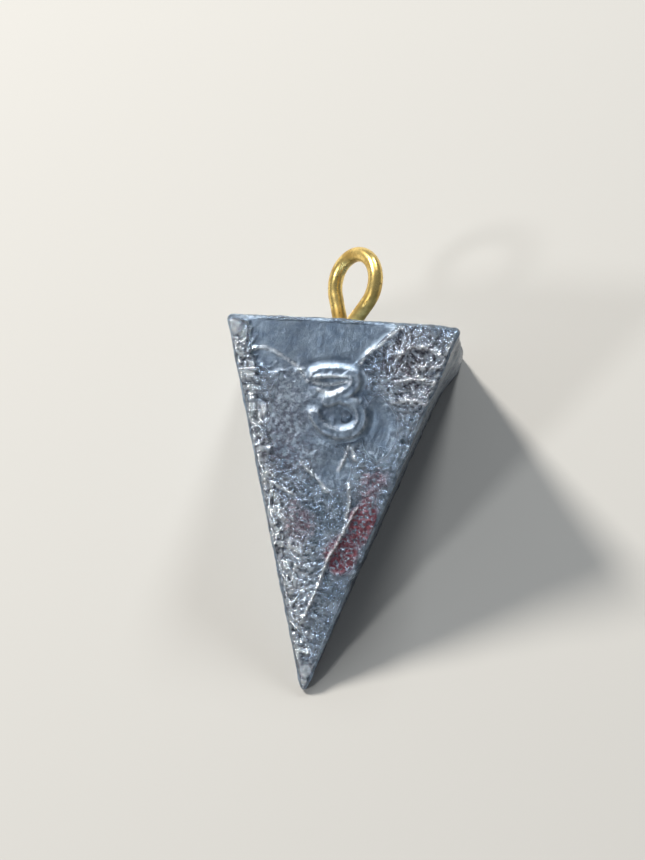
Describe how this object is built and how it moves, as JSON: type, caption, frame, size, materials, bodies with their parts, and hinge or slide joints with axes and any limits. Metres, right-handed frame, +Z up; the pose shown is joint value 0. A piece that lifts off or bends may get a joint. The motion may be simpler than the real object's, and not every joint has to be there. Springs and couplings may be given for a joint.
{
  "type": "pyramid sinker",
  "caption": "Cast lead pyramid fishing weight with a bent brass wire eye cast into its square base for tying to a line",
  "frame": {"origin": "Under the middle of the bounding box, at the level of the side face that the sinker lies on", "axes": "+Z up from the side face it lies on; +Y from the blunt tip toward the square base and the wire eye; +X to the right as pictured"},
  "size_m": [0.0236, 0.046, 0.023],
  "materials": {
    "lead": "rough cast lead, bright where rubbed",
    "brass": "tarnished wire"
  },
  "bodies": {
    "root": {"lead_body": "lead", "brass_eye": "brass"}
  },
  "joints": []
}
